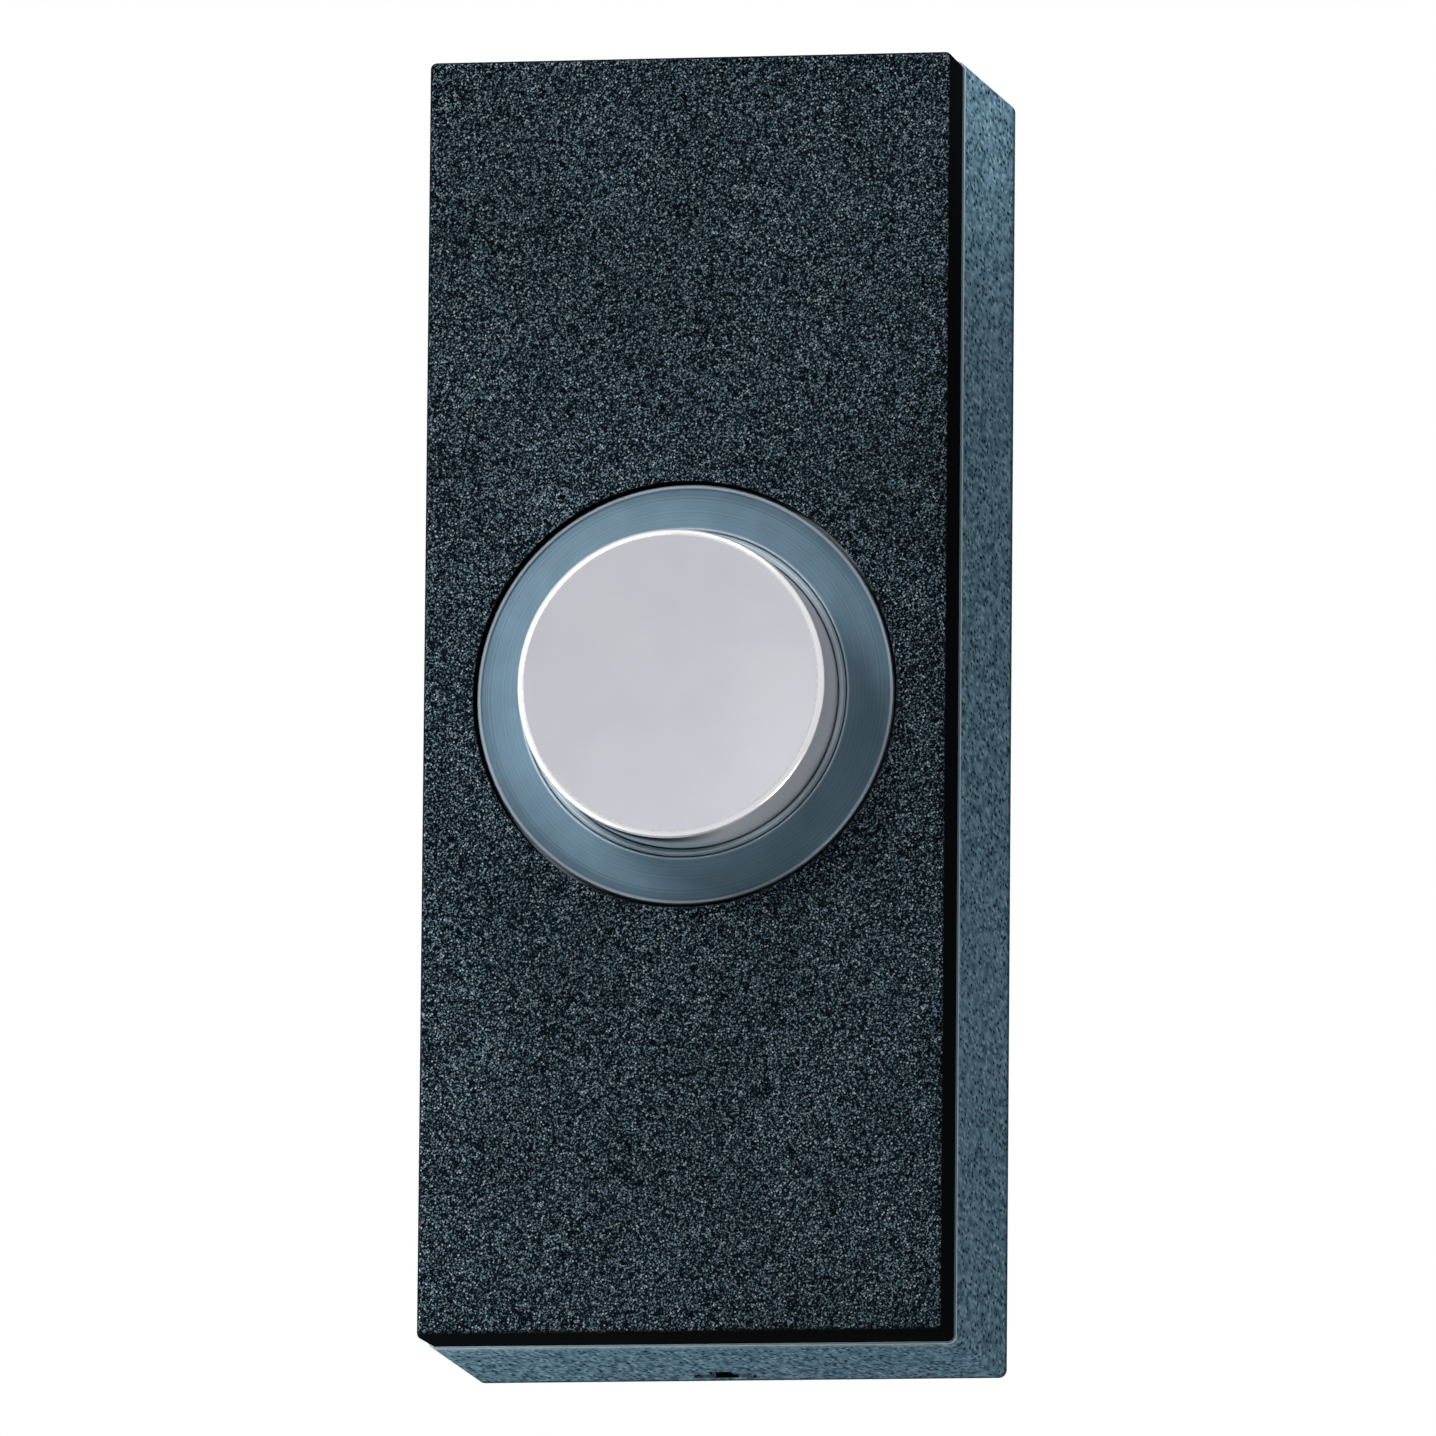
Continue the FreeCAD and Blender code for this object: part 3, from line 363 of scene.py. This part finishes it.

# %% [markdown]
# ## Satin ring and guide
# The ring is turned, so its finish runs round the button's axis: very fine lines that a
# one-dimensional noise draws when it is read along the radius. The guide's lip has the same satin.
# The ring's edges and the guide's lip have a painted highlight: a paler colour.

# %% Ring finish
def satin_finish(name, tone, lip):
    """Satin in this tone, with a painted highlight inside the lip radius and round the ring's
    outer edge.
    """
    finish = Finish(name, roughness=0.42, specular=0.06)
    lines = finish.turned_lines(0.10 * MM)
    cloud = finish.noise(2.2 * MM, detail=3.0)
    lined = finish.ramp(
        lines,
        [
            (0.25, linear(*(0.90 * channel for channel in tone))),
            (0.75, linear(*(1.08 * channel for channel in tone))),
        ],
    )
    clouded = finish.shade(lined, finish.spread(cloud, 0.3, 0.7, 0.84, 1.0))
    # Painted highlight: a pale colour inside the lip radius and round the ring's outer edge.
    inner = finish.below(finish.radius(), lip, lip + 0.1 * MM)
    outer = finish.smooth(finish.radius(), RING_RADIUS - 0.28 * MM, RING_RADIUS - 0.15 * MM)
    inner_share = finish.math("MULTIPLY", inner, 0.9)
    outer_share = finish.math("MULTIPLY", outer, 0.65)
    painted_highlight = finish.math("ADD", inner_share, outer_share)
    finish.colour(finish.mix(painted_highlight, clouded, solid(linear(205, 218, 226))))
    finish.roughness(finish.spread(lines, 0.2, 0.8, 0.36, 0.50))
    finish.bump(lines, 0.004 * MM, 0.4)
    return finish


dress(["bezel_ring"], satin_finish("satin_slate", (115, 143, 161), RING_BORE + 0.08 * MM))
dress(["button_guide"], satin_finish("satin_guide", (160, 184, 198), RING_BORE - 0.25 * MM))

# %% [markdown]
# ## Silver-grey button
# The button is moulded and coated a pale silver with a satin sheen. The rim of its face is a
# little smoother than the rest, and a painted highlight makes it lighter, less so along the
# bottom. Under the rim along the bottom, painted shade darkens the side, and deeper in it turns to
# a painted blue-grey reflection of the ring; there the side is matt and not metallic.

# %% Button finish
# Which way the painted shade under the rim faces: a little to the left and mostly down.
SHADE_LEFT = 0.24
SHADE_DOWN = 0.97


def button_finish():
    finish = Finish("silver_grey", roughness=0.3, specular=0.0)
    grain = finish.noise(0.30 * MM, detail=3.0)
    cloud = finish.noise(5.0 * MM, detail=2.0)
    face = finish.ramp(cloud, [(0.35, linear(196, 197, 204)), (0.65, linear(201, 201, 208))])
    radius = finish.radius()
    # Painted highlight: the rim of the face is coloured near-white, less so along the bottom.
    bevel = BUTTON_RADIUS - 1.1 * BUTTON_RIM
    outer = finish.smooth(radius, bevel, bevel + 0.5 * BUTTON_RIM)
    depth = finish.axis("Y")
    side = finish.smooth(depth, BUTTON_FRONT + 0.7 * BUTTON_RIM, BUTTON_FRONT + BUTTON_RIM)
    # Painted shade under the rim along the bottom; deeper in, its lighter blue-grey is a painted
    # reflection of the ring.
    leftward = finish.math("MULTIPLY", finish.axis("X"), -SHADE_LEFT / BUTTON_RADIUS)
    downward = finish.math("MULTIPLY", finish.axis("Z"), -SHADE_DOWN / BUTTON_RADIUS)
    under = finish.smooth(finish.math("ADD", leftward, downward), 0.70, 1.0)
    rim_highlight = finish.math("MULTIPLY", outer, finish.spread(under, 0.0, 1.0, 1.0, 0.6))
    rim = finish.math("MULTIPLY", rim_highlight, finish.math("SUBTRACT", 1.0, side))
    dull = finish.math("MULTIPLY", finish.math("MULTIPLY", side, outer), under)
    deep = finish.smooth(depth, BUTTON_FRONT + 1.2 * MM, BUTTON_FRONT + 3.4 * MM)
    painted_shade_and_reflection = finish.mix(deep, solid(linear(24, 30, 35)), solid(linear(118, 134, 144)))
    face_with_rim_highlight = finish.mix(rim, face, solid(linear(244, 244, 248)))
    finish.colour(finish.mix(dull, face_with_rim_highlight, painted_shade_and_reflection))
    finish.metallic(finish.spread(dull, 0.0, 1.0, 0.55, 0.0))
    satin = finish.spread(grain, 0.3, 0.7, 0.28, 0.32)
    polished = finish.math("SUBTRACT", satin, finish.math("MULTIPLY", rim, 0.1))
    finish.roughness(finish.math("ADD", polished, finish.math("MULTIPLY", dull, 0.5)))
    finish.bump(grain, 0.001 * MM, 0.2)
    return finish


dress(["button"], button_finish())

# %% [markdown]
# ## Hidden plastics and metals
# Nobody sees these on the wall, but the part can be opened. Each metal has its own tone, with a
# grain that runs as its strip was rolled or its blank was struck, and a duller bloom in patches.

# %% Backplate finish
def backplate_finish():
    finish = Finish("dark_moulding", roughness=0.6, specular=0.3)
    cloud = finish.noise(3.0 * MM, detail=4.0)
    grain = finish.noise(0.25 * MM, detail=2.0)
    finish.colour(finish.ramp(cloud, [(0.3, linear(52, 58, 63)), (0.7, linear(64, 70, 76))]))
    finish.roughness(finish.spread(grain, 0.3, 0.7, 0.70, 0.55))
    finish.bump(grain, 0.012 * MM, 0.5)
    return finish


def metal_finish(name, tone, roughness, stretch):
    finish = Finish(name, roughness=roughness, metallic=1.0)
    grain = finish.noise(0.12 * MM, detail=3.0, stretch=stretch)
    bloom = finish.noise(1.5 * MM, detail=4.0)
    bright = finish.ramp(
        grain,
        [
            (0.3, linear(*(0.92 * channel for channel in tone))),
            (0.7, linear(*tone)),
        ],
    )
    dull = finish.smooth(bloom, 0.50, 0.72)
    tarnished = solid(linear(*(0.72 * channel for channel in tone)))
    finish.colour(finish.mix(finish.math("MULTIPLY", dull, 0.5), bright, tarnished))
    finish.roughness(finish.math("ADD", roughness, finish.math("MULTIPLY", dull, 0.18)))
    finish.bump(grain, 0.003 * MM, 0.5)
    return finish


dress(["backplate"], backplate_finish())
along_strip = (1.0, 1.0, 0.08)
metals = [
    ("rolled_brass", (226, 196, 128), 0.30, along_strip, ["fixed_contact"]),
    ("struck_brass", (222, 192, 126), 0.34, EVEN, ["terminal_nut_left", "terminal_nut_right"]),
    ("rolled_bronze", (214, 166, 124), 0.28, along_strip, ["moving_contact"]),
    ("silver_points", (232, 232, 226), 0.24, EVEN, ["fixed_contact_tip", "moving_contact_tip"]),
    ("upset_brass", (220, 190, 124), 0.32, EVEN, ["contact_rivet_left", "contact_rivet_right"]),
    ("zinc_plate", (206, 208, 212), 0.36, EVEN, ["clamp_washer_left", "clamp_washer_right"]),
    ("zinc_screw", (204, 205, 206), 0.32, EVEN, ["terminal_screw_left", "terminal_screw_right"]),
]
for name, tone, roughness, stretch, wearers in metals:
    dress(wearers, metal_finish(name, tone, roughness, stretch))

# %% [markdown]
# ## Return spring
# The CAD spring has a six-sided wire and open ends, which keeps it light. The real one is wound
# from round wire, and its last turns lie flat on each other so that it stands square. Here a
# circle is wound round the axis by a Screw modifier, and the turns are then moved along the axis:
# close together at the ends, evenly open between.

# %% Wind the spring
WIRE = 0.5 * MM
WIRE_SIDES = 12
COIL_RADIUS = 0.355 * BUTTON_RADIUS
OPEN_TURNS = 5
CLOSED_TURNS = 1
STEPS = 36

spring_seat, spring_top = spring_high.y, spring_low.y
rise = spring_seat - spring_top - WIRE
turns = OPEN_TURNS + 2 * CLOSED_TURNS


def forward_at(turn):
    """How far forward the wire's middle is after so many turns from the seat."""
    closed = min(turn, CLOSED_TURNS) + max(turn - CLOSED_TURNS - OPEN_TURNS, 0.0)
    opened = min(max(turn - CLOSED_TURNS, 0.0), OPEN_TURNS)
    return closed * WIRE + opened * (rise - 2 * CLOSED_TURNS * WIRE) / OPEN_TURNS


def wind_coil():
    bpy.ops.object.select_all(action="DESELECT")
    start = (COIL_RADIUS, spring_seat - WIRE / 2, 0.0)
    bpy.ops.mesh.primitive_circle_add(vertices=WIRE_SIDES, radius=WIRE / 2, location=start)
    coil = bpy.context.object
    coil.name = "coil_spring"
    bpy.ops.object.transform_apply(location=True, rotation=False, scale=False)
    screw = coil.modifiers.new("wind", "SCREW")
    screw.axis = "Y"
    screw.iterations = turns
    screw.steps = STEPS
    screw.render_steps = STEPS
    screw.screw_offset = -rise / turns
    screw.use_merge_vertices = False
    bpy.ops.object.modifier_apply(modifier=screw.name)
    for index, vertex in enumerate(coil.data.vertices):
        turn = index // WIRE_SIDES / STEPS
        vertex.co.y += rise * turn / turns - forward_at(turn)
    bpy.ops.object.mode_set(mode="EDIT")
    bpy.ops.mesh.select_all(action="SELECT")
    bpy.ops.mesh.fill_holes(sides=WIRE_SIDES)
    bpy.ops.mesh.normals_make_consistent(inside=False)
    bpy.ops.object.mode_set(mode="OBJECT")
    bpy.ops.object.shade_smooth_by_angle(angle=math.radians(40))
    return coil


coil = wind_coil()
coil.data.materials.append(metal_finish("spring_wire", (198, 199, 203), 0.26, EVEN).material)
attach(coil, "bell_push")
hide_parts("return_spring")
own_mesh(coil)

# %% [markdown]
# ## Moving contact
# The moving contact is a leaf of thin bronze, riveted at its foot. When the button is pushed in,
# the leaf bends and lays its silver tip on the fixed one. Copies of the CAD leaf and its tip are
# cut across into short rows and shown in place of the CAD pieces.

# %% Cut the leaf into rows
LEAF_FOOT = -13.8 * MM
LEAF_ROWS = 12


def copy_node(name, title):
    """A copy of a CAD node with its shared corners welded, so that it can be cut."""
    piece = bpy.data.objects.new(title, nodes[name].data.copy())
    bpy.context.scene.collection.objects.link(piece)
    bpy.ops.object.select_all(action="DESELECT")
    piece.select_set(True)
    bpy.context.view_layer.objects.active = piece
    bpy.ops.object.mode_set(mode="EDIT")
    bpy.ops.mesh.select_all(action="SELECT")
    bpy.ops.mesh.customdata_custom_splitnormals_clear()
    bpy.ops.mesh.remove_doubles(threshold=0.001 * MM)
    bpy.ops.object.mode_set(mode="OBJECT")
    return piece


def cut_rows(low, high, count):
    """Cuts the active piece across at even steps in height."""
    bpy.ops.object.mode_set(mode="EDIT")
    for row in range(1, count):
        height = low + (high - low) * row / count
        bpy.ops.mesh.select_all(action="SELECT")
        bpy.ops.mesh.bisect(plane_co=(0.0, 0.0, height), plane_no=(0.0, 0.0, 1.0))
    bpy.ops.mesh.select_all(action="SELECT")
    bpy.ops.mesh.normals_make_consistent(inside=False)
    bpy.ops.object.mode_set(mode="OBJECT")
    bpy.ops.object.shade_smooth_by_angle(angle=math.radians(30))


def bend_with_button(piece, name):
    low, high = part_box(name)
    cut_rows(max(low.z, LEAF_FOOT), high.z, LEAF_ROWS)
    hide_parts(name)
    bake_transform(piece)
    print(piece.name, "bends in", len(piece.data.polygons), "faces")


for name, title, slot in (
    ("moving_contact", "moving_leaf", "contact_bronze"),
    ("moving_contact_tip", "leaf_tip", "contact_silver"),
):
    bend_with_button(copy_node(name, title), name)

# %% [markdown]
# ## Studio
# A white world stands for the paper backdrop in the camera's view and in reflections, while its
# light on the object is much lower, so that colours keep their tone. The key light is a soft
# panel up on the left, which throws the button's shadow down to the right. Fills light the top,
# the right side, the underside and the back, and a small spot brightens the side's upper end.

# %% World
AMBIENT = 0.05
PAPER_WHITE = 0.88


def seen_share(tree):
    """1 where the camera looks, straight or by a reflection, and 0 for light on the object."""
    path = tree.nodes.new("ShaderNodeLightPath")
    seen = path.outputs["Is Camera Ray"]
    for ray in ("Is Glossy Ray", "Is Transmission Ray"):
        either = tree.nodes.new("ShaderNodeMath")
        either.operation = "MAXIMUM"
        tree.links.new(seen, either.inputs[0])
        tree.links.new(path.outputs[ray], either.inputs[1])
        seen = either.outputs[0]
    return seen


def make_world():
    world = bpy.data.worlds.new("paper_white")
    world.use_nodes = True
    tree = world.node_tree
    tree.nodes.clear()
    strength = tree.nodes.new("ShaderNodeMapRange")
    strength.inputs["To Min"].default_value = AMBIENT
    strength.inputs["To Max"].default_value = 1.0
    tree.links.new(seen_share(tree), strength.inputs["Value"])
    background = tree.nodes.new("ShaderNodeBackground")
    background.inputs["Color"].default_value = (1.0, 1.0, 1.0, 1.0)
    tree.links.new(strength.outputs[0], background.inputs["Strength"])
    output = tree.nodes.new("ShaderNodeOutputWorld")
    tree.links.new(background.outputs[0], output.inputs["Surface"])
    bpy.context.scene.world = world
    print("world light on the object:", AMBIENT)


make_world()

# %% Lamps
FRONT_CENTRE = Vector((0.0, FRONT, 0.0))


def hang(name, lamp, direction, distance, target):
    """Hangs a lamp in this direction from its target, and turns it to face it."""
    holder = bpy.data.objects.new(name, lamp)
    bpy.context.scene.collection.objects.link(holder)
    towards = Vector(direction).normalized()
    holder.location = Vector(target) + towards * distance
    holder.rotation_euler = towards.to_track_quat("Z", "Y").to_euler()
    print(name, "at", [round(value, 3) for value in holder.location])


def panel(name, direction, distance, side, level):
    """A square soft panel. At level 1 a white card that faces it would show as white."""
    lamp = bpy.data.lights.new(name, "AREA")
    lamp.shape = "SQUARE"
    lamp.size = side
    lamp.energy = level * (math.pi * distance) ** 2
    hang(name, lamp, direction, distance, FRONT_CENTRE)


def spot(name, direction, distance, target, cone, level):
    """A soft-edged spot that lights only what lies near its target, at the same level."""
    lamp = bpy.data.lights.new(name, "SPOT")
    lamp.spot_size = math.radians(cone)
    lamp.spot_blend = 1.0
    lamp.shadow_soft_size = 0.01
    lamp.energy = level * (2 * math.pi * distance) ** 2
    hang(name, lamp, direction, distance, target)


panel("key_panel", (-0.54, -0.70, 0.52), 0.45, 0.15, 0.66)
panel("top_fill", (0.20, -0.30, 0.92), 0.45, 0.14, 0.42)
panel("right_fill", (0.73, 0.05, -0.68), 0.50, 0.10, 0.52)
panel("under_fill", (-1.00, -0.20, -0.75), 0.10, 0.05, 0.98)
panel("rear_fill", (0.0, 0.80, 0.60), 0.60, 0.20, 0.60)
side_top = (16.7 * MM, -10.0 * MM, 46.0 * MM)
spot("top_right_glow", (1.0, 0.08, 0.35), 0.40, side_top, 5.0, 1.2)

# %% [markdown]
# ## Floor
# The push hangs on a wall, so the floor lies far below it and out of the picture. It is the same
# white paper as the world: it shows white to the camera and in reflections, and it gives no
# light of its own to the object.

# %% Floor
FLOOR_SIZE = 8.0
FLOOR_HEIGHT = -1.2


def paper_finish():
    paper = Finish("pale_paper", roughness=0.9, specular=0.1)
    tones = [(0.3, (0.84, 0.84, 0.84)), (0.7, (0.87, 0.87, 0.87))]
    paper.colour(paper.ramp(paper.noise(0.02, detail=4.0), tones))
    shown = paper.math("MULTIPLY", seen_share(paper.tree), PAPER_WHITE)
    paper.shader.inputs["Emission Color"].default_value = solid((1.0, 1.0, 1.0))
    paper.tree.links.new(shown, paper.shader.inputs["Emission Strength"])
    paper.bump(paper.noise(0.002, detail=3.0), 0.0002, 0.3)
    return paper


bpy.ops.object.select_all(action="DESELECT")
bpy.ops.mesh.primitive_plane_add(size=FLOOR_SIZE, location=(0.0, 0.0, FLOOR_HEIGHT))
floor = bpy.context.object
floor.name = "studio_floor"
floor.data.materials.append(paper_finish().material)
print("floor at z =", FLOOR_HEIGHT)

# %% [markdown]
# ## Camera
# The photograph is taken from the right and a little below, with a long lens. The angles, the
# distance and the scale come from fitting the CAD's corners and circles to the picture.

# %% Camera
VIEW_AZIMUTH = math.radians(10.25)
VIEW_ELEVATION = math.radians(-8.0)
VIEW_ROLL = math.radians(0.51)
VIEW_DISTANCE = 1.2
VIEW_TARGET = Vector((2.126 * MM, FRONT, -1.547 * MM))
IMAGE_PIXELS = 1436
PIXELS_PER_METRE = 16320.4
SENSOR = 36.0


def make_camera():
    back = Vector(
        (
            math.sin(VIEW_AZIMUTH) * math.cos(VIEW_ELEVATION),
            -math.cos(VIEW_AZIMUTH) * math.cos(VIEW_ELEVATION),
            math.sin(VIEW_ELEVATION),
        )
    )
    level = Vector((math.cos(VIEW_AZIMUTH), math.sin(VIEW_AZIMUTH), 0.0))
    upright = back.cross(level)
    right = math.cos(VIEW_ROLL) * level + math.sin(VIEW_ROLL) * upright
    up = back.cross(right)
    data = bpy.data.cameras.new("camera")
    data.sensor_width = SENSOR
    data.lens = PIXELS_PER_METRE * VIEW_DISTANCE * SENSOR / IMAGE_PIXELS
    data.clip_start = 0.01
    data.clip_end = 20.0
    camera = bpy.data.objects.new("camera", data)
    bpy.context.scene.collection.objects.link(camera)
    turn = Matrix((right, up, back)).transposed().to_4x4()
    camera.matrix_world = Matrix.Translation(VIEW_TARGET + back * VIEW_DISTANCE) @ turn
    bpy.context.scene.camera = camera
    print("lens", round(data.lens, 1), "mm at", [round(value, 3) for value in camera.location])


make_camera()
bpy.context.scene.view_settings.view_transform = "Standard"
